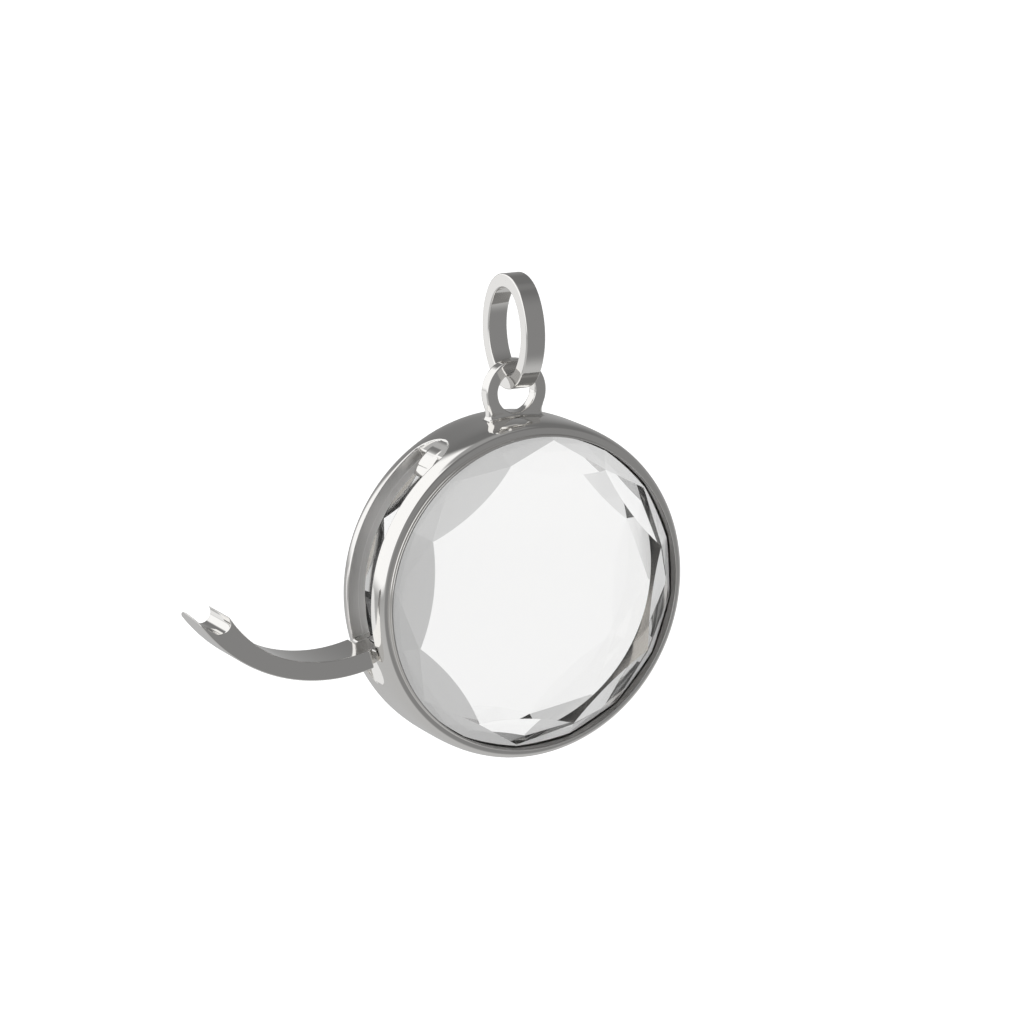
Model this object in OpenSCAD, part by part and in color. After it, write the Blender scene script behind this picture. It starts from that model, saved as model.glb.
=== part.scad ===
// Floating locket: a round case glazed front and back, with a gate in its side that opens on a pin.
// The case hangs from a small ring on an oval bail. The front faces -Y and +Z is up.
// The origin is the inside top of the bail, where a chain runs through.
// Angles round the case are seen from the front and grow anticlockwise from +X.

/* [Case] */
// Outer diameter of the case
case_d = 25; // [24.5:0.1:25.5]
// Depth of the domed outside, without the collars
case_depth = 6.46; // [6.3:0.02:6.7]
// Outer diameter of the thin collar round each crystal
collar_d = 23.28; // [23.2:0.02:23.4]
// Height of each collar above the end of the dome
collar_h = 0.36; // [0.2:0.02:0.5]
// Diameter of the two seats that hold the crystals
seat_d = 23; // [22.9:0.05:23.05]
// Inner diameter of the chamber
chamber_d = 22; // [21.6:0.1:22.2]
// Depth of the chamber between the two crystals
chamber_depth = 3.9; // [3.8:0.05:4]
// Squareness of the rounded outside: 2 is a half ellipse, and more is squarer
dome_power = 3.7; // [3:0.1:5]

/* [Slot and latch] */
// Width of the slot in the side of the case
slot_w = 3.7; // [3.6:0.05:3.8]
// Angle of the slot's upper end, where the tongue is rooted
slot_top_angle = 123; // [122:0.5:124]
// Angle of the slot's lower end, above the hinge
slot_floor_angle = 194.4; // [194.2:0.1:195]
// Angle of the rounded tip of the seat above the slot
seat_tip_angle = 116.4; // [116:0.1:117]
// Width of the tongue that the gate's claw closes round
tongue_w = 2.2; // [1.8:0.1:2.4]
// Rounding of the tongue's long edges
tongue_edge = 0.5; // [0.3:0.05:0.6]
// Angle at which the hollow below the hinge runs out on the surface
relief_angle = 209.5; // [207:0.5:211]
// Width of that hollow
relief_w = 3.2; // [2.8:0.1:3.4]
// Depth of that hollow at its upper end
relief_depth = 0.55; // [0.3:0.05:0.6]

/* [Gate] */
// Width of the gate
gate_w = 3.56; // [3.4:0.02:3.58]
// Thickness of the gate
gate_t = 1.38; // [1.3:0.02:1.42]
// Extra thickness of the thumb swell at the free end
swell_t = 0.6; // [0.5:0.02:0.62]
// Angle at which the swell has faded out
swell_end_angle = 158; // [150:1:165]
// Angle of the blade's tip when the gate is closed
blade_tip_angle = 120.3; // [119.5:0.1:121]
// Radius of the blade's tip, seen from outside
blade_tip_r = 2.5; // [2.2:0.1:3]
// Angle of the middle of the claw's notch when the gate is closed
notch_angle = 128; // [127.5:0.1:128.5]
// Radius of the notch
notch_r = 0.72; // [0.7:0.01:0.74]
// Gap between the closed claw and the tongue
latch_gap = 0.06; // [0.05:0.01:0.08]
// Angle of the heel's shoulders when the gate is closed
heel_angle = 192.5; // [192:0.1:192.8]
// Width of the knuckle between the hinge's two ears
knuckle_w = 2.1; // [1.8:0.1:2.2]
// How far the gate stands open
open_angle = 92.5; // [0:0.5:92.5]

/* [Hinge] */
// Distance of the hinge pin from the middle of the case
pin_orbit = 11.9; // [11.85:0.01:11.95]
// Angle of the hinge pin round the case
pin_angle = 197; // [196.9:0.1:197.1]
// Diameter of the hinge pin
pin_d = 0.5; // [0.4:0.02:0.52]
// Length of the hinge pin
pin_l = 4.4; // [4:0.1:4.6]
// Radial play of the gate on its pin
pin_play = 0.05; // [0.03:0.01:0.08]
// Gap between the knuckle and the pocket's sides
pocket_gap = 0.07; // [0.05:0.01:0.1]
// Angle of the pocket's lower end, which is the open gate's stop
stop_angle = 200.1; // [200:0.05:200.4]

/* [Crystals] */
// Gap between a crystal and its seat
crystal_gap = 0.04; // [0.02:0.01:0.06]
// Height of the crown above the end of the dome, in the middle
crown_h = 2.25; // [2.1:0.05:2.4]
// Radius of the domed table
table_r = 46; // [42:1:50]
// Number of main facets round the table
mains = 8; // [8:1:8]
// Angle of the first main facet
main_angle = 82.3; // [80:0.1:84]
// Tilt of the main facets
main_tilt = 31; // [30:0.5:32]
// Tilt of the girdle facets
girdle_tilt = 46.9; // [45:0.1:48]
// Radius at which a main facet reaches the level of the dome's end
main_r = 11.22; // [11.15:0.01:11.3]

/* [Ring and bail] */
// Diameter of the ring's hole
ring_hole_d = 3; // [2.9:0.05:3.1]
// Thickness of the ring's wire
wire_t = 0.9; // [0.8:0.01:0.95]
// Width of the ring's wire, front to back
wire_w = 1; // [0.9:0.05:1.1]
// Height of the ring's middle above the middle of the case
ring_rise = 14.22; // [14.1:0.02:14.3]
// Width of the ring's foot where it meets the case
foot_w = 4.4; // [3.8:0.1:4.6]
// Height of the bail
bail_h = 8.36; // [8:0.02:8.6]
// Depth of the bail, front to back
bail_depth = 6.84; // [6.6:0.02:7]
// Width of the bail's strip
strip_w = 1.54; // [1.4:0.01:1.56]
// Thickness of the bail's strip
strip_t = 1; // [0.95:0.01:1.05]
// Rounding of the edges of the ring and the bail
edge_r = 0.12; // [0.1:0.01:0.2]
// Gap under the middle of the strip that carries the ring, whose edges bear first
hang_gap = 0.26; // [0.25:0.01:0.34]

/* [Hidden] */
$fn = 96;
metal = [0.72, 0.72, 0.71];
bright_metal = [0.8, 0.8, 0.79];
clear = [0.92, 0.94, 0.95, 0.45];

case_r = case_d / 2;
half_depth = case_depth / 2;
half_chamber = chamber_depth / 2;
collar_r = collar_d / 2;
collar_top = half_depth + collar_h;
seat_r = seat_d / 2;
chamber_r = chamber_d / 2;
dome_steps = 24;

gate_out_r = case_r - 0.02;
gate_in_r = gate_out_r - gate_t;
notch_orbit = 11.3;
seat_angle = seat_tip_angle + asin(slot_w / 2 / case_r);
relief_mid_angle = relief_angle - asin(relief_w / 2 / case_r);
relief_top_angle = 198.8;

// The blade's underside and the tongue's top are round about one line
bend_orbit = 9.18;
bend_angle = 120.6;
blade_bend_r = case_r - 0.12 - bend_orbit;
tongue_bend_r = blade_bend_r - latch_gap;
// Direction in which the seat's floor touches the tongue's round top
floor_dir = 127.4;

// Distance from the pin to the claw's inner lip, which swings past the tongue's end
lip_orbit = gate_in_r - swell_t + 0.1;
lip_swing = sqrt(pin_orbit * pin_orbit + lip_orbit * lip_orbit
    - 2 * pin_orbit * lip_orbit * cos(pin_angle - notch_angle - 0.5));
tongue_clear_r = lip_swing + 0.08;

// The bail is an oval of four arcs, which meet on lines that rise 3 for every 4 across
bail_end_mid = (bail_h - bail_depth) * 3 / 4;
bail_end_r = bail_h / 2 - bail_end_mid;
bail_side_mid = bail_end_mid * 4 / 3;
bail_side_r = bail_end_r + bail_end_mid * 5 / 3;
bail_mid_z = strip_t - bail_h / 2;
ring_mid_z = 2 * strip_t - bail_h + hang_gap - ring_hole_d / 2;
case_z = ring_mid_z - ring_rise;
reach = 20;

// Point at a radius and an angle round the case
function round_case(r, a) = [r * cos(a), r * sin(a)];

// Radius and depth of the domed outside, for t from -90 at one collar to 90 at the other
function dome_point(t) = [
    collar_r + (case_r - collar_r) * pow(abs(cos(t)), 2 / dome_power),
    half_depth * sign(t) * pow(abs(sin(t)), 2 / dome_power)
];

// The axis of the case becomes the Z axis of what is drawn inside
module case_axis() {
    translate([0, 0, case_z]) rotate([90, 0, 0]) children();
}

// A place on the case, with X pointing outwards and Y growing with the angle
module at_angle(a) {
    rotate([0, 0, a]) children();
}

// A round post that points outwards through the wall at an angle
module outward_post(a, r) {
    at_angle(a) translate([chamber_r - 3, 0, 0]) rotate([0, 90, 0]) cylinder(r = r, h = 6);
}

// Part of a disc between two angles less than a half turn apart
module sector(a1, a2, r) {
    far = r / cos((a2 - a1) / 4);
    polygon([[0, 0], round_case(r, a1), round_case(far, a1 + (a2 - a1) / 4), round_case(far, (a1 + a2) / 2),
        round_case(far, a2 - (a2 - a1) / 4), round_case(r, a2)]);
}

// Section of a strip or wire with rounded edges, centred
module soft_section(w, h) {
    square([w - 2 * edge_r, h], center = true);
    square([w, h - 2 * edge_r], center = true);
    for (x = [-1, 1], y = [-1, 1])
        translate([x * (w / 2 - edge_r), y * (h / 2 - edge_r)]) circle(r = edge_r, $fn = 32);
}

// Half of the metal's section, from the outside of the dome to the chamber
module case_section() {
    polygon(concat(
        [for (i = [0 : dome_steps]) dome_point(-90 + 180 * i / dome_steps)],
        [[collar_r, collar_top], [seat_r, collar_top], [seat_r, half_chamber], [chamber_r, half_chamber],
         [chamber_r, -half_chamber], [seat_r, -half_chamber], [seat_r, -collar_top], [collar_r, -collar_top]]
    ));
}

// The opening in the side of the case, with its upper end rounded seen from outside
module slot() {
    linear_extrude(height = slot_w, center = true)
        sector(seat_angle, slot_floor_angle, case_r + 2);
    intersection() {
        outward_post(seat_angle, slot_w / 2);
        linear_extrude(height = slot_w, center = true)
            sector(slot_top_angle, seat_angle + 4, case_r + 2);
    }
}

// Room for the gate's knuckle between the two ears
module hinge_pocket() {
    linear_extrude(height = knuckle_w + 2 * pocket_gap, center = true)
        sector(slot_floor_angle - 1, stop_angle, case_r + 2);
}

// Sloping hollow below the hinge, with a rounded lower end
module heel_relief() {
    intersection() {
        outward_post(relief_mid_angle, relief_w / 2);
        linear_extrude(height = relief_w, center = true)
            polygon([round_case(case_r - relief_depth, relief_top_angle), round_case(case_r, relief_angle),
                round_case(case_r + 2, relief_angle), round_case(case_r + 2, relief_top_angle)]);
    }
}

// Shallow seat above the slot: its straight floor runs out at the rounded tip
module seat() {
    middle = round_case(bend_orbit, bend_angle);
    touch = middle + round_case(tongue_bend_r - 0.02, floor_dir);
    along = round_case(1, floor_dir - 90);
    out = round_case(3, floor_dir);
    intersection() {
        outward_post(seat_angle, slot_w / 2);
        linear_extrude(height = slot_w, center = true) intersection() {
            polygon([touch - along, touch + 6 * along, touch + 6 * along + out, touch - along + out]);
            sector(seat_tip_angle - 3, slot_top_angle + 0.5, case_r + 2);
        }
    }
}

// Tongue at the slot's upper end: its end is a bead, cut back where the gate's inner lip swings past
module tongue() {
    pin = round_case(pin_orbit, pin_angle);
    middle = round_case(bend_orbit, bend_angle);
    notch = round_case(notch_orbit, notch_angle);
    w = tongue_w;
    intersection() {
        linear_extrude(height = tongue_w, center = true) difference() {
            union() {
                sector(slot_top_angle - 3.5, notch_angle, case_r);
                translate(notch) circle(r = notch_r - latch_gap, $fn = 64);
            }
            circle(r = chamber_r + 0.15, $fn = 180);
            translate(pin) circle(r = tongue_clear_r, $fn = 180);
        }
        translate(middle) rotate_extrude($fn = 128) {
            translate([0, -w / 2]) square([tongue_bend_r - tongue_edge, w]);
            translate([0, tongue_edge - w / 2]) square([tongue_bend_r, w - 2 * tongue_edge]);
            for (side = [-1, 1])
                translate([tongue_bend_r - tongue_edge, side * (w / 2 - tongue_edge)])
                    circle(r = tongue_edge, $fn = 32);
        }
    }
}

// Small ring on top of the case with its broad soldered foot, in the frame of the case
module ring() {
    hole_r = ring_hole_d / 2;
    shoulder = round_case(hole_r + wire_t - 0.07, -24);
    foot_y = case_r - 0.48 - ring_rise;
    translate([0, ring_rise, 0]) {
        rotate_extrude() translate([hole_r + wire_t / 2, 0]) soft_section(wire_t, wire_w);
        linear_extrude(height = wire_w - 0.2, center = true) difference() {
            polygon([[-shoulder.x, shoulder.y], shoulder, [foot_w / 2, foot_y], [-foot_w / 2, foot_y]]);
            circle(r = hole_r + 0.1);
        }
    }
}

module rim() {
    color(bright_metal) case_axis() union() {
        difference() {
            rotate_extrude($fn = 180) case_section();
            slot();
            hinge_pocket();
            heel_relief();
            seat();
            at_angle(pin_angle) translate([pin_orbit, 0, 0])
                cylinder(d = pin_d + 0.04, h = pin_l + 0.04, center = true);
        }
        tongue();
        difference() {
            ring();
            cylinder(r = (chamber_r + case_r) / 2, h = reach, center = true);
        }
    }
}

// Half-space above one sloping facet that meets the level of the dome's end at radius r
module above_facet(a, r, tilt) {
    at_angle(a) translate([r, 0, half_depth]) rotate([0, tilt, 0])
        translate([-reach, -reach / 2, 0]) cube([2 * reach, reach, reach]);
}

// One crystal, with its crown towards +Z
module crystal() {
    girdle_step = 360 / (2 * mains);
    girdle_facet_r = main_r * cos(girdle_step / 2);
    color(clear) difference() {
        intersection() {
            translate([0, 0, half_chamber]) cylinder(r = seat_r - crystal_gap, h = reach / 2, $fn = 180);
            translate([0, 0, half_depth + crown_h - table_r]) sphere(r = table_r, $fn = 180);
        }
        for (i = [0 : mains - 1])
            above_facet(main_angle + i * 360 / mains, main_r, main_tilt);
        for (i = [0 : 2 * mains - 1])
            above_facet(main_angle + (i + 0.5) * girdle_step, girdle_facet_r, girdle_tilt);
    }
}

module crystal_front() {
    case_axis() translate([0, 0, crystal_gap]) crystal();
}

module crystal_back() {
    case_axis() mirror([0, 0, 1]) translate([0, 0, crystal_gap]) crystal();
}

// Side view of the closed gate, without its knuckle
module gate_outline() {
    difference() {
        intersection() {
            circle(r = gate_out_r, $fn = 180);
            sector(blade_tip_angle - 1, heel_angle, case_r + 2);
        }
        difference() {
            circle(r = gate_in_r, $fn = 180);
            swell();
        }
        claw_opening();
    }
}

// The swell inside the free end fades out towards the middle of the gate
module swell() {
    steps = 12;
    span = swell_end_angle - notch_angle;
    polygon(concat(
        [round_case(case_r - 0.5, blade_tip_angle - 2)],
        [round_case(gate_in_r - swell_t, blade_tip_angle - 2)],
        [for (i = [0 : steps])
            round_case(gate_in_r - swell_t * pow(1 - i / steps, 1.5), notch_angle + span * i / steps)],
        [round_case(case_r - 0.5, swell_end_angle)]
    ));
}

// What is open in the claw: all below the blade, and the round notch
module claw_opening() {
    middle = round_case(bend_orbit, bend_angle);
    notch = round_case(notch_orbit, notch_angle);
    intersection() {
        translate(middle) circle(r = blade_bend_r, $fn = 128);
        sector(blade_tip_angle - 8, notch_angle + 0.5, case_r);
    }
    translate(notch) circle(r = notch_r, $fn = 64);
}

// Side view of the knuckle: a round barrel and the neck that joins it to the bar
module knuckle_outline() {
    barrel_r = gate_out_r - pin_orbit;
    intersection() {
        sector(heel_angle - 2, pin_angle, case_r + 2);
        difference() {
            circle(r = gate_out_r, $fn = 180);
            circle(r = gate_in_r + 0.2, $fn = 180);
        }
    }
    at_angle(pin_angle) translate([pin_orbit, 0]) circle(r = barrel_r, $fn = 48);
}

// Everything of the claw beyond the blade's rounded tip
module beyond_tip() {
    tip_axis = blade_tip_angle + asin(blade_tip_r / case_r);
    difference() {
        linear_extrude(height = reach, center = true)
            sector(blade_tip_angle - 6, notch_angle - 1, case_r + 2);
        outward_post(tip_axis, blade_tip_r);
    }
}

module closed_gate() {
    difference() {
        union() {
            linear_extrude(height = gate_w, center = true) gate_outline();
            linear_extrude(height = knuckle_w, center = true) knuckle_outline();
        }
        beyond_tip();
        at_angle(pin_angle) translate([pin_orbit, 0, 0])
            cylinder(d = pin_d + 2 * pin_play, h = reach, center = true);
    }
}

module gate() {
    hinge = round_case(pin_orbit, pin_angle);
    color(metal) case_axis()
        translate([hinge.x, hinge.y, 0]) rotate([0, 0, open_angle]) translate([-hinge.x, -hinge.y, 0])
            closed_gate();
}

module hinge_pin() {
    color(metal) case_axis() at_angle(pin_angle) translate([pin_orbit, 0, 0])
        cylinder(d = pin_d, h = pin_l, center = true);
}

// One arc of the bail's strip about its middle, as far as two lines from there
module bail_arc(middle, r, line_1, line_2) {
    translate(middle) intersection() {
        rotate_extrude() translate([r - strip_t / 2, 0]) soft_section(strip_t, strip_w);
        linear_extrude(height = 2 * strip_w, center = true)
            polygon([[0, 0], 2 * line_1, 2 * (line_1 + line_2), 2 * line_2]);
    }
}

module bail() {
    color(metal) translate([0, 0, bail_mid_z]) rotate([90, 0, 90]) for (side = [-1, 1]) {
        bail_arc([0, side * bail_end_mid], bail_end_r, [4, side * 3], [-4, side * 3]);
        bail_arc([-side * bail_side_mid, 0], bail_side_r, [side * 4, 3], [side * 4, -3]);
    }
}

bail();
rim();
crystal_front();
crystal_back();
gate();
hinge_pin();
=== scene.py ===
import bmesh
import bpy
import numpy as np
from math import atan2, cos, degrees, hypot, pi, radians, sin, sqrt
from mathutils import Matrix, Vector


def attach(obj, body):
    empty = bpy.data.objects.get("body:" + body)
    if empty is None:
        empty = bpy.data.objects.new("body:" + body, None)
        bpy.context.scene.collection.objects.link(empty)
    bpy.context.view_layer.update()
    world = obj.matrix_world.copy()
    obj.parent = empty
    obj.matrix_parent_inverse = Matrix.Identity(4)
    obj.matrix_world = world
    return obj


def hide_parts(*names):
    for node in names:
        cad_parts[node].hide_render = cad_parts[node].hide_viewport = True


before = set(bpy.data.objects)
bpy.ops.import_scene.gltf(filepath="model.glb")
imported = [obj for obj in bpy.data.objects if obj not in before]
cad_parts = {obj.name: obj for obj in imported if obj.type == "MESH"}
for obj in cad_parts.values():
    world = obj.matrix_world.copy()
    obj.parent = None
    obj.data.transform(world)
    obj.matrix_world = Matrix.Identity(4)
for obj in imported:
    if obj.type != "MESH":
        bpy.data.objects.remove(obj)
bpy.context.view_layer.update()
scene = bpy.context.scene
mm = 0.001

# the case that everything is set out from, in millimetres: X right, Y up and Z towards the front crystal
case = {
    "height": -21.82,  # middle of the case below the inside top of the bail
    "outerR": 12.5, "halfDepth": 3.23, "squareness": 3.7,  # the domed outside
    "collarR": 11.64, "collarTop": 3.59, "seatR": 11.5,
    "chamberR": 11.0, "halfChamber": 1.95,
    "pinOrbit": 11.9, "pinAngle": 197,
    "bendOrbit": 9.18, "bendAngle": 120.6,  # the claw's underside and the tongue's top curve about this
}


# camera: it looks past the middle of the case by "up" and "left", in metres
view = {
    "back": (-0.454, -0.854, 0.255), "distance": 0.3, "up": 0.005155, "left": 0.00012,
    "lens": 145.53, "sensor": 36, "near": 0.01, "far": 20,
}


def addCamera():
    middle = Vector((0, 0, case["height"] * mm))
    back = Vector(view["back"]).normalized()
    right = Vector((0, 0, 1)).cross(back).normalized()
    up = back.cross(right)
    camera = bpy.data.objects.new("camera", bpy.data.cameras.new("camera"))
    scene.collection.objects.link(camera)
    camera.data.sensor_width = view["sensor"]
    camera.data.lens = view["lens"]
    camera.data.clip_start = view["near"]
    camera.data.clip_end = view["far"]
    camera.location = middle + back * view["distance"]
    aim = middle + up * view["up"] - right * view["left"]
    camera.rotation_euler = (aim - camera.location).to_track_quat("-Z", "Y").to_euler()
    scene.camera = camera
    print("camera is in place")


addCamera()


# nodes
class Wire:
    # one socket of a node tree, which can be used in plain sums
    def __init__(self, tree, socket=None):
        self.tree = tree
        self.socket = socket

    def make(self, kind, settings=None, inputs=None, out=0):
        made = self.tree.nodes.new(kind)
        for name, value in (settings or {}).items():
            if name == "stops":
                ramp = made.color_ramp
                for i, (place, colour) in enumerate(value):
                    stop = ramp.elements[i] if i < 2 else ramp.elements.new(place)
                    stop.position = place
                    stop.color = (*colour, 1)
            else:
                setattr(made, name, value)
        for name, value in (inputs or {}).items():
            if isinstance(value, Wire):
                self.tree.links.new(value.socket, made.inputs[name])
            else:
                made.inputs[name].default_value = value
        return Wire(self.tree, made.outputs[out] if made.outputs else None)

    def sum(self, operation, first, second):
        return self.make("ShaderNodeMath", {"operation": operation}, {0: first, 1: second})

    def __add__(self, other):
        return self.sum("ADD", self, other)

    def __sub__(self, other):
        return self.sum("SUBTRACT", self, other)

    def __rsub__(self, other):
        return self.sum("SUBTRACT", other, self)

    def __mul__(self, other):
        return self.sum("MULTIPLY", self, other)

    def __pow__(self, other):
        return self.sum("POWER", self, other)

    __radd__ = __add__
    __rmul__ = __mul__


def newMaterial(name):
    material = bpy.data.materials.new(name)
    material.use_nodes = True
    material.node_tree.nodes.clear()
    return material, Wire(material.node_tree)


# white metal: buffed nearly to a mirror outside, left satin on the slot's walls, warmer and duller inside;
# the top of the front crystal's edge is painted dark grey as a painted shadow line by the collar, the seat
# under the crystals is painted darker grey as painted shade, and ground is the matt rest of the crystals'
# edges
finishes = {
    "polished": {"colour": (0.9, 0.888, 0.868), "roughness": 0.045, "haze": 0.05, "grain": 0.02},
    "satin": {"colour": (0.8, 0.79, 0.775), "roughness": 0.34, "haze": 0.2, "grain": 0.5},
    "inside": {"colour": (0.66, 0.625, 0.575), "roughness": 0.1, "haze": 0.05, "grain": 0.02},
    # painted shade: this dark grey is a painted shadow line along the top of the front crystal's edge
    "paintedShadeLine": {"colour": (0.32, 0.315, 0.305), "roughness": 0.35, "haze": 0.1, "grain": 0.0},
    "ground": {"colour": (0.88, 0.88, 0.87), "roughness": 0.6, "haze": 0.1, "grain": 0.0, "metallic": 0.0},
    # painted shade: the seat's dark grey stands in for the shade under the crystals' edges
    "seat": {"colour": (0.4, 0.39, 0.38), "roughness": 0.3, "haze": 0.1, "grain": 0.05},
}
wear = {  # each noise by its waves to the metre, detail and roughness
    "haze": (700.0, 4.0, 0.5),
    "grain": (9000.0, 3.0, 0.7), "grainDepth": 0.1, "grainStretch": (1, 1, 0.12),
    "wave": (900.0, 1.0, 0.5), "waveDepth": 0.012,
    "bump": 0.25, "bumpDistance": 0.0004,
}


def noiseOver(place, size, detail, rough):
    values = {"Vector": place, "Scale": size, "Detail": detail, "Roughness": rough}
    return place.make("ShaderNodeTexNoise", inputs=values, out="Fac")


def surfaceOf(name):
    finish = finishes[name]
    material, wire = newMaterial(f"{name} surface")
    place = wire.make("ShaderNodeTexCoord", out="Object")
    drawn = wire.make("ShaderNodeMapping", inputs={"Vector": place, "Scale": wear["grainStretch"]})
    haze = noiseOver(place, *wear["haze"])
    grain = noiseOver(drawn, *wear["grain"])
    wave = noiseOver(place, *wear["wave"])
    relief = wave * wear["waveDepth"] + grain * (finish["grain"] * wear["grainDepth"])
    bump = wire.make(
        "ShaderNodeBump",
        inputs={"Height": relief, "Strength": wear["bump"], "Distance": wear["bumpDistance"]}, out="Normal",
    )
    shine = wire.make(
        "ShaderNodeBsdfPrincipled",
        inputs={
            "Base Color": (*finish["colour"], 1),
            "Metallic": finish.get("metallic", 1.0),
            "Roughness": finish["roughness"] + haze * grain * finish["haze"],
            "Normal": bump,
        },
    )
    wire.make("ShaderNodeOutputMaterial", inputs={"Surface": shine})
    return material


# clear crystal: colourless and polished, with only a breath of haze
clear = {
    "colour": (0.99, 0.99, 0.988), "ior": 1.54, "haze": 0.012,
    "smear": (260.0, 3.0, 0.5), "contrast": 4,
}


def clearCrystal():
    material, wire = newMaterial("clear crystal")
    place = wire.make("ShaderNodeTexCoord", out="Object")
    smear = noiseOver(place, *clear["smear"])
    glass = wire.make(
        "ShaderNodeBsdfPrincipled",
        inputs={
            "Base Color": (*clear["colour"], 1),
            "Transmission Weight": 1.0,
            "IOR": clear["ior"],
            "Roughness": smear ** clear["contrast"] * clear["haze"],
        },
    )
    wire.make("ShaderNodeOutputMaterial", inputs={"Surface": glass})
    return material


metal = surfaceOf("polished")
crystalGlass = clearCrystal()
print("materials are ready")


# mesh helpers
def addPiece(name, corners, faces, normals, body):
    mesh = bpy.data.meshes.new(name)
    mesh.from_pydata(np.asarray(corners).tolist(), [], np.asarray(faces).tolist())
    mesh.polygons.foreach_set("use_smooth", [True] * len(mesh.polygons))
    mesh.normals_split_custom_set_from_vertices(np.asarray(normals).tolist())
    mesh.materials.append(metal)
    mesh.update()
    piece = bpy.data.objects.new(name, mesh)
    scene.collection.objects.link(piece)
    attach(piece, body)
    print(f"{name}: {len(mesh.polygons)} faces")
    return piece


def toFrame(vectors):
    # from the case's own axes to the shared ones: the case's Z points out of the front, along -Y
    x, y, z = np.asarray(vectors, float).T
    return np.stack([x, -z, y], 1)


def placeInFrame(points):
    return (toFrame(points) + (0, 0, case["height"])) * mm


def joinRound(a, b, r):
    # two solids as one, with a fillet of radius r; a solid is a field of distances, below 0 inside
    return np.maximum(r, np.minimum(a, b)) - np.hypot(np.maximum(r - a, 0), np.maximum(r - b, 0))


def keepRound(a, b, r):
    # what two solids share, with its edge rounded to radius r
    return np.minimum(-r, np.maximum(a, b)) + np.hypot(np.maximum(r + a, 0), np.maximum(r + b, 0))


def cutRound(a, b, r):
    return keepRound(a, -b, r)


def turned(x, y, angle):
    # the distance outwards along an angle, and the distance round from it
    c, s = cos(radians(angle)), sin(radians(angle))
    return x * c + y * s, y * c - x * s


def wedge(x, y, first, last):
    # everything from one angle round to another
    return np.maximum(-turned(x, y, first)[1], turned(x, y, last)[1])


def post(x, y, z, angle, r):
    # a round post that stands outwards along an angle
    out, side = turned(x, y, angle)
    return np.maximum(np.hypot(side, z) - r, -out)


def fromPoint(x, y, orbit, angle):
    return np.hypot(x - orbit * cos(radians(angle)), y - orbit * sin(radians(angle)))


skin = {"probe": 0.004, "passes": 4, "stride": 0.05, "leastSlope": 0.2}  # how a skin is drawn to its solid


def meshRound(field, angles, radii, depths, closed=False):
    # a skin of quads over the zero level of a solid's distance field, on a grid that runs round the case,
    # so that every long edge comes out as one clean line
    a, r, z = np.meshgrid(np.radians(angles), radii, depths, indexing="ij")
    x, y = r * np.cos(a), r * np.sin(a)
    value = field(x, y, z)
    inside = value < 0
    shape = [len(angles) - (0 if closed else 1), len(radii) - 1, len(depths) - 1]
    spots = np.stack([x, y, z], -1)

    def corner(grid, step):
        moved = np.roll(grid, -step[0], 0)[: shape[0]]
        return moved[:, step[1]: step[1] + shape[1], step[2]: step[2] + shape[2]]

    steps = [(i, j, k) for i in (0, 1) for j in (0, 1) for k in (0, 1)]
    filled = sum(corner(inside, s).astype(np.int8) for s in steps)
    active = (filled > 0) & (filled < 8)
    number = np.full(active.shape, -1)
    number[active] = np.arange(active.sum())
    total = np.zeros((active.sum(), 3))
    hits = np.zeros(len(total))
    for first in steps:
        for axis in range(3):
            if first[axis]:
                continue
            second = tuple(1 if i == axis else first[i] for i in range(3))
            v0, v1 = corner(value, first)[active], corner(value, second)[active]
            p0, p1 = corner(spots, first)[active], corner(spots, second)[active]
            cross = (v0 < 0) != (v1 < 0)
            t = (v0[cross] / (v0[cross] - v1[cross]))[:, None]
            total[cross] += p0[cross] + t * (p1[cross] - p0[cross])
            hits[cross] += 1
    points = total / hits[:, None]

    faces = []
    for axis in range(3):
        u, w = (axis + 1) % 3, (axis + 2) % 3
        nextValue = np.roll(inside, -1, axis)
        change = inside != nextValue
        valid = np.ones_like(change)
        for i in range(1 if closed else 0, 3):  # the grid's own borders have no cells beyond them
            at = [slice(None)] * 3
            at[i] = -1
            valid[tuple(at)] = False
            if i != axis:
                at[i] = 0
                valid[tuple(at)] = False
        edges = np.argwhere(change & valid)
        cells = []
        for du, dw in ((0, 0), (1, 0), (1, 1), (0, 1)):
            cell = edges.copy()
            cell[:, u] -= du
            cell[:, w] -= dw
            cell[:, 0] %= shape[0] if closed else len(angles)
            cells.append(number[cell[:, 0], cell[:, 1], cell[:, 2]])
        quads = np.stack(cells, 1)
        solid = inside[edges[:, 0], edges[:, 1], edges[:, 2]]
        quads[solid] = quads[solid][:, ::-1]
        faces.append(quads)
    faces = np.concatenate(faces)

    def slope(p):
        probes = np.eye(3) * skin["probe"]
        return np.stack([field(*(p + h).T) - field(*(p - h).T) for h in probes], 1) / (2 * skin["probe"])

    for _ in range(skin["passes"]):
        g = slope(points)
        move = field(*points.T)[:, None] * g / np.maximum((g * g).sum(1), skin["leastSlope"])[:, None]
        points -= np.clip(move, -skin["stride"], skin["stride"])
    normals = slope(points)
    normals /= np.maximum(np.linalg.norm(normals, axis=1), 1e-6)[:, None]
    return points, faces, normals


def stepsOver(stretches):
    # grid lines over one or more stretches, each given as start, end and step
    return np.concatenate([np.arange(start, end - step / 2, step) for start, end, step in stretches])


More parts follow.
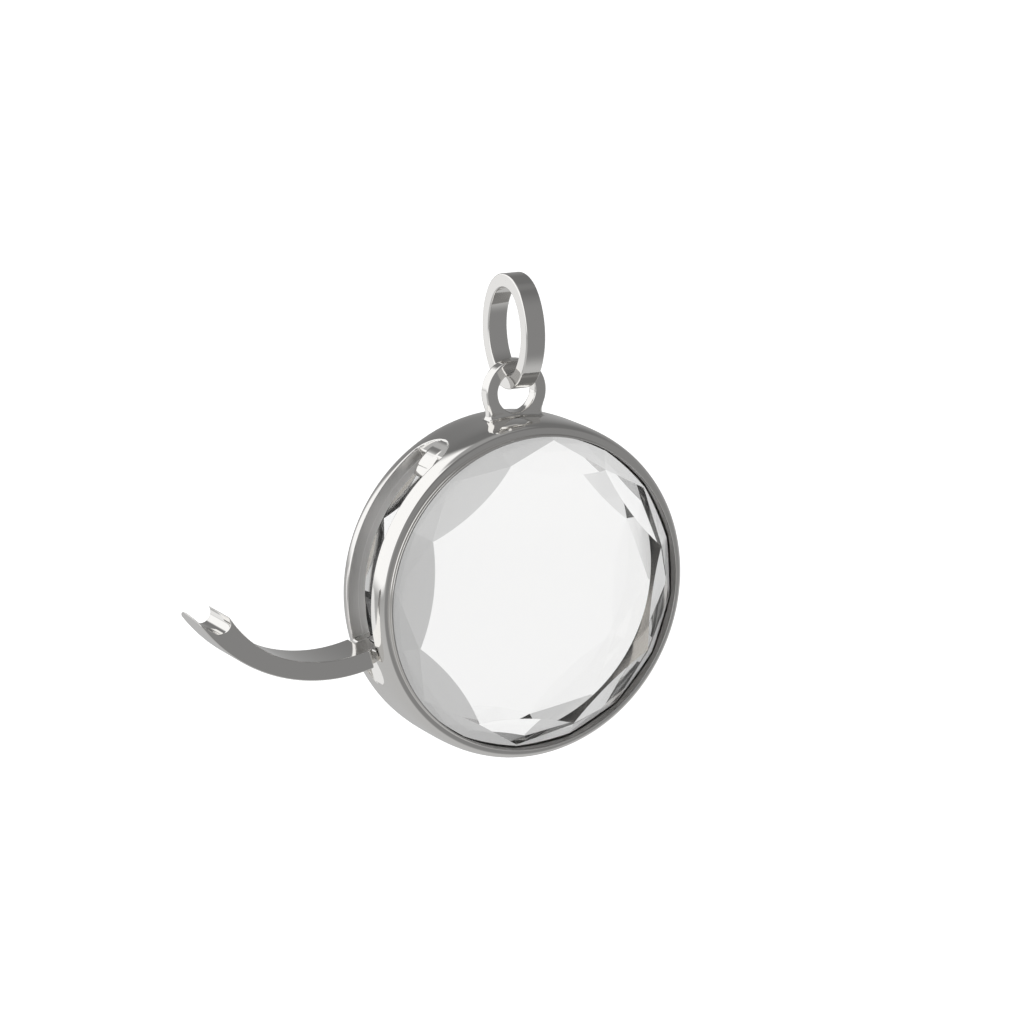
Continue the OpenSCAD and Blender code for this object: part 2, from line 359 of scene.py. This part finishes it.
# rim: angles run anticlockwise from the right, and a cutter reaches a few degrees past the metal
rim = {
    "collarEdge": 0.04, "collarFillet": 0.06,
    "slotHalf": 1.85, "slotTop": 123, "slotFloor": 194.4, "slotEdge": 0.13,
    "seatTip": 116.4, "seatFloor": 127.4, "seatEnd": 123.5, "seatSink": 0.02, "seatEdge": 0.1,
    "stop": 200.1, "pocketHalf": 1.12, "pocketEdge": 0.07,
    "boreR": 0.27, "boreHalf": 2.22,
    "reliefTop": 198.8, "reliefAngle": 209.5, "reliefHalf": 1.6, "reliefDepth": 0.55, "reliefEdge": 0.05,
    "tongueHalf": 1.1, "tongueR": 3.14, "tongueRoot": 119.5, "tongueSide": 0.5, "tongueEdge": 0.12,
    "tongueUnder": 0.15, "tongueFillet": 0.04,
    "beadOrbit": 11.3, "beadAngle": 128, "beadR": 0.66,
    "lipOrbit": 10.6, "lipAngle": 0.5, "lipGap": 0.08,  # room for the claw's inner lip to pass
    "ringRise": 14.22, "ringHole": 1.5, "ringThick": 0.9, "ringHalf": 0.5, "ringEdge": 0.12,
    "footHalf": 2.15, "footThick": 0.46, "footDrop": 2.6, "footEdge": 0.25, "footHole": 0.02,
    "footBlend": 0.15, "footFillet": 0.3,
    # where the finishes lie: the satin stops short of the slot's rounded edges
    "satinFacing": 0.9, "satinIn": 0.08, "satinOut": 0.1, "satinPast": 0.12,
    "wallFacing": 0.3, "wallNear": 0.03, "wallShort": 0.01, "seatPast": 0.02,
    # grid lines round the case, outwards and through it, closest where the detail is
    "angles": [(76, 104, 0.45), (104, 112, 1), (112, 214, 0.5), (214, 436, 2)],
    "radii": [(10.83, 11.37, 0.09), (11.37, 11.76, 0.035), (11.76, 16.8, 0.09)],
    "depths": [(-3.78, 3.83, 0.09)],
}


def hoopField(x, y, z):
    rho, flat = np.hypot(x, y), np.abs(z)
    bulge = case["outerR"] - case["collarR"]
    p = case["squareness"]
    u = np.maximum(rho - case["collarR"], 0) / bulge
    w = flat / case["halfDepth"]
    level = np.maximum((u**p + w**p) ** (1 / p), 0.05)  # kept off zero, like the slope
    slope = level ** (1 - p) * np.hypot(u ** (p - 1) / bulge, w ** (p - 1) / case["halfDepth"])
    outside = (level - 1) / np.maximum(slope, 0.3)
    collar = keepRound(rho - case["collarR"], flat - case["collarTop"], rim["collarEdge"])
    seats = np.maximum(rho - case["seatR"], case["halfChamber"] - flat)
    hollow = np.minimum(rho - case["chamberR"], seats)
    return cutRound(joinRound(outside, collar, rim["collarFillet"]), hollow, rim["collarEdge"])


def tongueField(x, y, z):
    rho, flat = np.hypot(x, y), np.abs(z)
    bend = fromPoint(x, y, case["bendOrbit"], case["bendAngle"])
    bead = fromPoint(x, y, rim["beadOrbit"], rim["beadAngle"]) - rim["beadR"]
    length = np.minimum(wedge(x, y, rim["tongueRoot"], rim["beadAngle"]), bead)
    # the underside stays clear of the claw's lip, which sweeps round the pin
    pin, lip = case["pinOrbit"], rim["lipOrbit"]
    between = radians(case["pinAngle"] - rim["beadAngle"] - rim["lipAngle"])
    swing = sqrt(pin**2 + lip**2 - 2 * pin * lip * cos(between)) + rim["lipGap"]
    clearance = swing - fromPoint(x, y, pin, case["pinAngle"])
    top = keepRound(bend - rim["tongueR"], flat - rim["tongueHalf"], rim["tongueSide"])
    under = np.maximum(case["chamberR"] + rim["tongueUnder"] - rho, clearance)
    return keepRound(keepRound(top, under, rim["tongueEdge"]), length, rim["tongueEdge"])


def ringField(x, y, z):
    up = y - rim["ringRise"]
    fromHole = np.hypot(x, up)
    middle = rim["ringHole"] + rim["ringThick"] / 2
    across = np.abs(fromHole - middle) - rim["ringThick"] / 2 + rim["ringEdge"]
    along = np.abs(z) - rim["ringHalf"] + rim["ringEdge"]
    wire = np.hypot(np.maximum(across, 0), np.maximum(along, 0)) + np.minimum(np.maximum(across, along), 0)
    foot = keepRound(np.abs(x) - rim["footHalf"], np.abs(z) - rim["footThick"], rim["footEdge"])
    foot = np.maximum(foot, np.maximum(up, -rim["footDrop"] - up))
    foot = keepRound(foot, rim["ringHole"] + rim["footHole"] - fromHole, rim["footEdge"])
    return joinRound(wire - rim["ringEdge"], foot, rim["footBlend"])


def rimField(x, y, z):
    rho, flat = np.hypot(x, y), np.abs(z)
    half = rim["slotHalf"]
    seatAngle = rim["seatTip"] + degrees(np.arcsin(half / case["outerR"]))
    slotLong = np.maximum(flat - half, wedge(x, y, seatAngle, rim["slotFloor"]))
    slotEnd = np.maximum(post(x, y, z, seatAngle, half), wedge(x, y, rim["slotTop"], seatAngle + 4))
    slot = np.minimum(slotLong, slotEnd)

    # the seat's floor runs on from the tongue's top
    bend = radians(case["bendAngle"])
    bendOut, _ = turned(case["bendOrbit"] * cos(bend), case["bendOrbit"] * sin(bend), rim["seatFloor"])
    seatFloor = bendOut + rim["tongueR"] - rim["seatSink"] - turned(x, y, rim["seatFloor"])[0]
    seat = np.maximum.reduce([
        post(x, y, z, seatAngle, half), flat - half, seatFloor,
        wedge(x, y, rim["seatTip"] - 3, rim["seatEnd"]),
    ])

    pocket = np.maximum(flat - rim["pocketHalf"], wedge(x, y, rim["slotFloor"] - 1, rim["stop"]))

    # the hollow below the hinge slopes from its depth at the top out to the case's outside
    reliefMid = rim["reliefAngle"] - degrees(np.arcsin(rim["reliefHalf"] / case["outerR"]))
    top, low = radians(rim["reliefTop"]), radians(rim["reliefAngle"])
    deepR = case["outerR"] - rim["reliefDepth"]
    x1, y1 = deepR * cos(top), deepR * sin(top)
    x2, y2 = case["outerR"] * cos(low), case["outerR"] * sin(low)
    slopeOut = ((x - x1) * (y2 - y1) - (y - y1) * (x2 - x1)) / hypot(x2 - x1, y2 - y1)
    relief = np.maximum.reduce([
        post(x, y, z, reliefMid, rim["reliefHalf"]), -slopeOut,
        wedge(x, y, rim["reliefTop"], rim["reliefAngle"] + 2),
    ])

    body = hoopField(x, y, z)
    body = cutRound(body, slot, rim["slotEdge"])
    body = cutRound(body, pocket, rim["pocketEdge"])
    body = cutRound(body, relief, rim["reliefEdge"])
    body = cutRound(body, seat, rim["seatEdge"])
    fromPin = fromPoint(x, y, case["pinOrbit"], case["pinAngle"])
    body = np.maximum(body, -np.maximum(fromPin - rim["boreR"], flat - rim["boreHalf"]))
    body = joinRound(body, tongueField(x, y, z), rim["tongueFillet"])
    ring = np.maximum(ringField(x, y, z), (case["chamberR"] + case["outerR"]) / 2 - rho)
    return joinRound(body, ring, rim["footFillet"])


def addRim():
    lines = [stepsOver(rim[name]) for name in ("angles", "radii", "depths")]
    points, faces, normals = meshRound(rimField, *lines, closed=True)
    piece = addPiece("rimShell", placeInFrame(points), faces, toFrame(normals), "locket")
    for name in ("satin", "inside", "seat"):
        piece.data.materials.append(surfaceOf(name))
    # which finish each face has, by where it lies
    x, y, z = points[faces].mean(1).T
    facing = np.abs(normals[faces].mean(1)[:, 2])
    rho, flat, angle = np.hypot(x, y), np.abs(z), np.degrees(np.arctan2(y, x)) % 360
    inSlot = (angle > rim["slotTop"]) & (angle < rim["slotFloor"] + 2)
    satin = inSlot & (flat < rim["slotHalf"] + rim["satinPast"]) & (facing > rim["satinFacing"])
    satin &= (rho > case["chamberR"] + rim["satinIn"]) & (rho < case["outerR"] - rim["satinOut"])
    inChamber = flat < case["halfChamber"] - rim["wallShort"]
    wall = inChamber & (np.abs(rho - case["chamberR"]) < rim["wallNear"]) & (facing < rim["wallFacing"])
    # the seat under the crystals takes the dark grey of painted shade
    seat = (flat > case["halfChamber"] - rim["wallShort"]) & (rho < case["seatR"] + rim["seatPast"])
    piece.data.polygons.foreach_set("material_index", (satin * 1 + wall * 2 + seat * 3).astype(np.int32))
    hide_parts("rim")


addRim()


# gate: drawn closed, on the same angles as the rim
gate = {
    "outR": 12.48, "inR": 11.1, "half": 1.78,
    "edge": 0.1, "longEdge": 0.06, "endEdge": 0.12, "tipEdge": 0.08,
    "swell": 0.6, "swellEnd": 158, "swellCurve": 1.5, "tip": 120.3, "tipR": 2.5,
    "notchOrbit": 11.3, "notchAngle": 128, "notchR": 0.72, "bendR": 3.2, "bendEnd": 128.5,
    "heel": 192.5, "knuckleHalf": 1.05, "neckIn": 0.2, "bore": 0.3, "open": 92.5,
    "angles": [(117.5, 201.5, 0.3)], "radii": [(10.2, 12.75, 0.06)], "depths": [(-1.93, 1.96, 0.06)],
}


def gateField(x, y, z):
    rho, flat = np.hypot(x, y), np.abs(z)
    angle = np.degrees(np.arctan2(y, x)) % 360
    t = np.clip((angle - gate["notchAngle"]) / (gate["swellEnd"] - gate["notchAngle"]), 0, 1)
    inner = gate["inR"] - gate["swell"] * (1 - t) ** gate["swellCurve"]
    bar = keepRound(rho - gate["outR"], inner - rho, gate["longEdge"])
    # the claw: a round notch for the tongue's bead, open below where the tongue goes in
    opening = np.maximum(
        fromPoint(x, y, case["bendOrbit"], case["bendAngle"]) - gate["bendR"],
        wedge(x, y, gate["tip"] - 8, gate["bendEnd"]),
    )
    notch = fromPoint(x, y, gate["notchOrbit"], gate["notchAngle"]) - gate["notchR"]
    bar = cutRound(bar, np.minimum(opening, notch), gate["longEdge"])
    bar = keepRound(bar, wedge(x, y, gate["tip"] - 1, gate["heel"]), gate["endEdge"])
    bar = keepRound(bar, flat - gate["half"], gate["edge"])
    # the tip is round, seen from outside
    tipAngle = gate["tip"] + degrees(np.arcsin(gate["tipR"] / case["outerR"]))
    tip = post(x, y, z, tipAngle, gate["tipR"])
    beyond = np.maximum(wedge(x, y, gate["tip"] - 6, gate["notchAngle"] - 1), -tip)
    bar = cutRound(bar, beyond, gate["tipEdge"])
    shell = np.maximum(rho - gate["outR"], gate["inR"] + gate["neckIn"] - rho)
    neck = np.maximum(wedge(x, y, gate["heel"] - 2, case["pinAngle"]), shell)
    fromPin = fromPoint(x, y, case["pinOrbit"], case["pinAngle"])
    barrel = fromPin - (gate["outR"] - case["pinOrbit"])
    knuckle = keepRound(np.minimum(neck, barrel), flat - gate["knuckleHalf"], gate["longEdge"])
    return np.maximum(joinRound(bar, knuckle, gate["longEdge"]), gate["bore"] - fromPin)


def addGate():
    lines = [stepsOver(gate[name]) for name in ("angles", "radii", "depths")]
    points, faces, normals = meshRound(gateField, *lines)
    # turned open about the pin
    turn, at = radians(gate["open"]), radians(case["pinAngle"])
    pin = case["pinOrbit"] * np.array([cos(at), sin(at)])
    spin = np.array([[cos(turn), -sin(turn)], [sin(turn), cos(turn)]])
    points[:, :2] = (points[:, :2] - pin) @ spin.T + pin
    normals[:, :2] = normals[:, :2] @ spin.T
    piece = addPiece("gateBar", placeInFrame(points), faces, toFrame(normals), "gate")
    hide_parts("gate")


addGate()


# crystals: a dome cut round by 8 main facets and 16 girdle facets, with a flat inner face
crystal = {
    "gap": 0.04, "brim": 0.62, "crown": 2.25, "tableR": 46, "around": 180, "rings": 44,
    "mains": 8, "mainAngle": 82.3, "mainTilt": 31, "mainR": 11.22, "girdleTilt": 46.9,
    "cutNear": 1e-5, "weld": 1e-4, "smoothUnder": 4, "uprightUnder": 0.1, "edgeNear": 0.01,
}
# the dark grey finish is painted shade, a painted shadow line on the front crystal's edge
paintedShadeLine, ground = surfaceOf("paintedShadeLine"), surfaceOf("ground")


def addCrystal(name, node, side):
    edge = case["seatR"] - crystal["gap"]
    base = case["halfChamber"] + crystal["gap"]
    level = case["halfDepth"] + crystal["gap"]
    domeMiddle = level + crystal["crown"] - crystal["tableR"]
    around, rings = crystal["around"], crystal["rings"]
    build = bmesh.new()

    def ringAt(r, z):
        turns = [2 * pi * i / around for i in range(around)]
        return [build.verts.new((r * cos(a), r * sin(a), z)) for a in turns]

    tip = build.verts.new((0, 0, domeMiddle + crystal["tableR"]))
    reaches = [edge * (k + 1) / rings for k in range(rings)]
    domes = [ringAt(r, domeMiddle + sqrt(crystal["tableR"] ** 2 - r**2)) for r in reaches]
    brim, floor = ringAt(edge, level - crystal["brim"]), ringAt(edge, base)
    for i in range(around):
        j = (i + 1) % around
        build.faces.new((tip, domes[0][i], domes[0][j]))
        for low, high in zip(domes[1:] + [brim, floor], domes + [brim]):
            build.faces.new((high[i], low[i], low[j], high[j]))
    build.faces.new(floor[::-1])

    start, mains = crystal["mainAngle"], crystal["mains"]
    step = 360 / (2 * mains)
    girdleR = crystal["mainR"] * cos(radians(step / 2))
    cuts = [(start + i * 2 * step, crystal["mainR"], crystal["mainTilt"]) for i in range(mains)]
    cuts += [(start + (i + 0.5) * step, girdleR, crystal["girdleTilt"]) for i in range(2 * mains)]
    for angle, r, tilt in cuts:
        a, t = radians(angle), radians(tilt)
        bmesh.ops.bisect_plane(
            build, geom=build.verts[:] + build.edges[:] + build.faces[:],
            plane_co=(r * cos(a), r * sin(a), level), plane_no=(sin(t) * cos(a), sin(t) * sin(a), cos(t)),
            clear_outer=True, dist=crystal["cutNear"],
        )
        bmesh.ops.holes_fill(build, edges=[e for e in build.edges if e.is_boundary])
    bmesh.ops.dissolve_degenerate(build, edges=build.edges[:], dist=crystal["weld"])
    build.normal_update()
    # the edge is ground matt, and in front its upper part is painted dark grey as a painted shadow line by
    # the collar
    for face in build.faces:
        x, y, z = face.calc_center_median()
        upright = abs(face.normal.z) < crystal["uprightUnder"]
        if upright and hypot(x, y) > edge - crystal["edgeNear"]:
            face.material_index = 1 if side > 0 and z > level - crystal["brim"] else 2
    for vert in build.verts:
        x, y, z = vert.co
        vert.co = (x * mm, -z * side * mm, (y + case["height"]) * mm)
    bmesh.ops.recalc_face_normals(build, faces=build.faces[:])
    if build.calc_volume(signed=True) < 0:
        bmesh.ops.reverse_faces(build, faces=build.faces[:])
    for face in build.faces:
        face.smooth = True
    for cut in build.edges:
        cut.smooth = cut.calc_face_angle(0) < radians(crystal["smoothUnder"])
    mesh = bpy.data.meshes.new(name)
    build.to_mesh(mesh)
    build.free()
    mesh.materials.append(crystalGlass)
    mesh.materials.append(paintedShadeLine)
    mesh.materials.append(ground)
    piece = bpy.data.objects.new(name, mesh)
    scene.collection.objects.link(piece)
    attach(piece, "locket")
    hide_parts(node)
    print(f"{name}: {len(mesh.polygons)} faces")


addCrystal("frontCrystal", "crystal_front", 1)
addCrystal("backCrystal", "crystal_back", -1)


# bail: a flat strip bent round
bail = {
    "height": 8.36, "depth": 6.84, "width": 1.54, "thick": 1.0, "edge": 0.12,
    "endSteps": 60, "sideSteps": 44, "edgeSteps": 8,
}


def stripSection():
    # points and outward directions round the strip, with its edges rounded
    edge, steps = bail["edge"], bail["edgeSteps"]
    rows = []
    for sx, sy, start in ((1, 1, 0), (-1, 1, 90), (-1, -1, 180), (1, -1, 270)):
        cx, cy = sx * (bail["width"] / 2 - edge), sy * (bail["thick"] / 2 - edge)
        for i in range(steps + 1):
            a = radians(start + 90 * i / steps)
            rows.append((cx + edge * cos(a), cy + edge * sin(a), cos(a), sin(a)))
    return rows


def addBail():
    # an oval of four arcs, which meet on lines that rise 3 for every 4 across, and so are 5 long
    up, over, slant = 3, 4, 5
    endMid = (bail["height"] - bail["depth"]) * up / over
    endR = bail["height"] / 2 - endMid
    sideMid, sideR = endMid * over / up, endR + endMid * slant / up
    join = degrees(atan2(up, over))
    arcs = [
        (0, endMid, endR, join, 180 - join, bail["endSteps"]),
        (sideMid, 0, sideR, 180 - join, 180 + join, bail["sideSteps"]),
        (0, -endMid, endR, 180 + join, 360 - join, bail["endSteps"]),
        (-sideMid, 0, sideR, 360 - join, 360 + join, bail["sideSteps"]),
    ]
    section = stripSection()
    lift = bail["thick"] - bail["height"] / 2
    points, normals = [], []
    for middleY, middleZ, r, start, end, steps in arcs:
        for i in range(steps):
            a = radians(start + (end - start) * i / steps)
            for across, out, nx, nOut in section:
                reach = r - bail["thick"] / 2 + out
                points.append((across, middleY + reach * cos(a), middleZ + lift + reach * sin(a)))
                normals.append((nx, nOut * cos(a), nOut * sin(a)))
    count = len(section)
    faces = []
    for i in range(0, len(points), count):
        onward = (i + count) % len(points)
        faces += [(i + j, i + (j + 1) % count, onward + (j + 1) % count, onward + j) for j in range(count)]
    piece = addPiece("bailLink", np.array(points) * mm, faces, normals, "bail")
    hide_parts("bail")


addBail()

# the pin keeps its own solid, in the same metal
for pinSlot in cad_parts["hinge_pin"].material_slots:
    pinSlot.material = metal


# studio: a big soft light at the back left, a greyer room elsewhere, and a white sheet below and behind
studio = {
    "drop": 0.075, "front": -0.4, "back": 4, "reach": 3,  # the sheet, in metres
    "sheet": 0.9, "sheetRough": 0.9, "sheetGlow": 0.8,
    "room": [  # brightness of the room, from straight down to straight up
        (0.0, 0.5), (0.25, 0.5), (0.32, 0.48), (0.4, 0.42), (0.47, 0.36), (0.55, 0.3), (0.68, 0.23),
        (0.8, 0.17), (0.93, 0.17), (0.985, 0.33),
    ],
    # a darker wall straight in front, by how nearly a direction points to it
    "frontTo": (0.469, -0.883, 0), "frontFrom": 0.5, "frontFull": 0.85, "frontTone": 0.24,
    # the big light, by its azimuths in degrees and by the heights of its ends
    "boxFrom": 98, "boxTo": 228, "boxLow": -0.08, "boxHigh": 0.92, "boxSoft": 0.08, "box": 1.05,
    # a small light that whitens the links' left sides; like a patch, by azimuth, elevation and half sizes
    "glow": (120, -17, 15, 11), "glowTone": 0.85,
    # what shows through the crystals: two bright patches on a greyer wall
    "patches": [(75, -7, 26.5, 25), (64, -14, 12, 31)], "patchEdge": 0.15, "patchAhead": 0.1, "patch": 1.02,
    "wallLeft": 0.56, "wallRight": 0.7, "wallTurn": 65, "wallFrom": -0.15, "wallTo": 0.25,
    "wallLow": 0.12, "lowFrom": -0.48, "lowTo": -0.3,
}


def addStudio():
    mesh = bpy.data.meshes.new("floor")
    low, side, near, far = -studio["drop"], studio["reach"], studio["front"], studio["back"]
    corners = [(-side, near, low), (side, near, low), (side, far, low), (-side, far, low)]
    mesh.from_pydata(corners, [], [(0, 1, 2, 3)])
    floor = bpy.data.objects.new("floor", mesh)
    scene.collection.objects.link(floor)
    material, wire = newMaterial("white sheet")
    paper = wire.make(
        "ShaderNodeBsdfPrincipled",
        inputs={
            "Base Color": (*[studio["sheet"]] * 3, 1), "Roughness": studio["sheetRough"],
            "Emission Color": (1, 1, 1, 1), "Emission Strength": studio["sheetGlow"],
        },
    )
    wire.make("ShaderNodeOutputMaterial", inputs={"Surface": paper})
    mesh.materials.append(material)
    floor.visible_glossy = False  # the metal and the crystals take their light from the room
    floor.visible_transmission = False
    floor.visible_diffuse = False

    world = bpy.data.worlds.new("studio")
    world.use_nodes = True
    world.node_tree.nodes.clear()
    scene.world = world
    wire = Wire(world.node_tree)
    toward = wire.make("ShaderNodeTexCoord", out="Generated")

    def along(axis):
        return wire.make(
            "ShaderNodeVectorMath", {"operation": "DOT_PRODUCT"}, {0: toward, 1: axis}, out="Value"
        )

    def sideways(azimuth):  # 0 along this azimuth, and growing anticlockwise
        a = radians(azimuth)
        return along((-sin(a), cos(a), 0))

    def rise(value, start, full):
        return wire.make(
            "ShaderNodeMapRange", {"interpolation_type": "SMOOTHSTEP"},
            {"Value": value, "From Min": start, "From Max": full, "To Min": 0.0, "To Max": 1.0},
        )

    def patchAt(azimuth, elevation, wide, tall):
        a, e = radians(azimuth), radians(elevation)
        ahead = along((cos(a) * cos(e), sin(a) * cos(e), sin(e)))
        across = sideways(azimuth) * (1 / sin(radians(wide)))
        upward = along((-cos(a) * sin(e), -sin(a) * sin(e), cos(e))) * (1 / sin(radians(tall)))
        reach = (across * across) ** 2 + (upward * upward) ** 2
        inside = 1 - rise(reach, 1 - studio["patchEdge"], 1 + studio["patchEdge"])
        return inside * rise(ahead, 0, studio["patchAhead"])

    height = along((0, 0, 1))
    room = wire.make(
        "ShaderNodeValToRGB", {"stops": [(place, (v, v, v)) for place, v in studio["room"]]},
        {"Fac": height * 0.5 + 0.5}, out="Color",
    )
    soft, low, high = studio["boxSoft"], studio["boxLow"], studio["boxHigh"]
    end = radians(studio["boxTo"])
    box = rise(sideways(studio["boxFrom"]), -soft, soft)
    box = box * rise(along((sin(end), -cos(end), 0)), -soft, soft)
    box = box * rise(height, low - soft, low + soft)
    box = box * (1 - rise(height, high - soft / 2, high + soft / 2))
    front = rise(along(studio["frontTo"]), studio["frontFrom"], studio["frontFull"])
    room = room * (1 - front) + front * studio["frontTone"]
    mirrored = room * (1 - box) + box * studio["box"]
    glow = patchAt(*studio["glow"])
    mirrored = mirrored * (1 - glow) + glow * studio["glowTone"]
    beside = rise(sideways(studio["wallTurn"]), studio["wallFrom"], studio["wallTo"])
    through = beside * (studio["wallRight"] - studio["wallLeft"]) + studio["wallLeft"]
    through = through + (1 - rise(height, studio["lowFrom"], studio["lowTo"])) * studio["wallLow"]
    for spot in studio["patches"]:
        patch = patchAt(*spot)
        through = through * (1 - patch) + patch * studio["patch"]
    path = wire.make("ShaderNodeLightPath", out="Is Transmission Ray")
    seen = wire.make("ShaderNodeLightPath", out="Is Camera Ray")
    light = mirrored * (1 - path) + through * path
    light = light * (1 - seen) + seen
    sky = wire.make("ShaderNodeBackground", inputs={"Color": (1, 1, 1, 1), "Strength": light})
    wire.make("ShaderNodeOutputWorld", inputs={"Surface": sky})
    scene.view_settings.view_transform = "Standard"
    print("studio is lit")


addStudio()
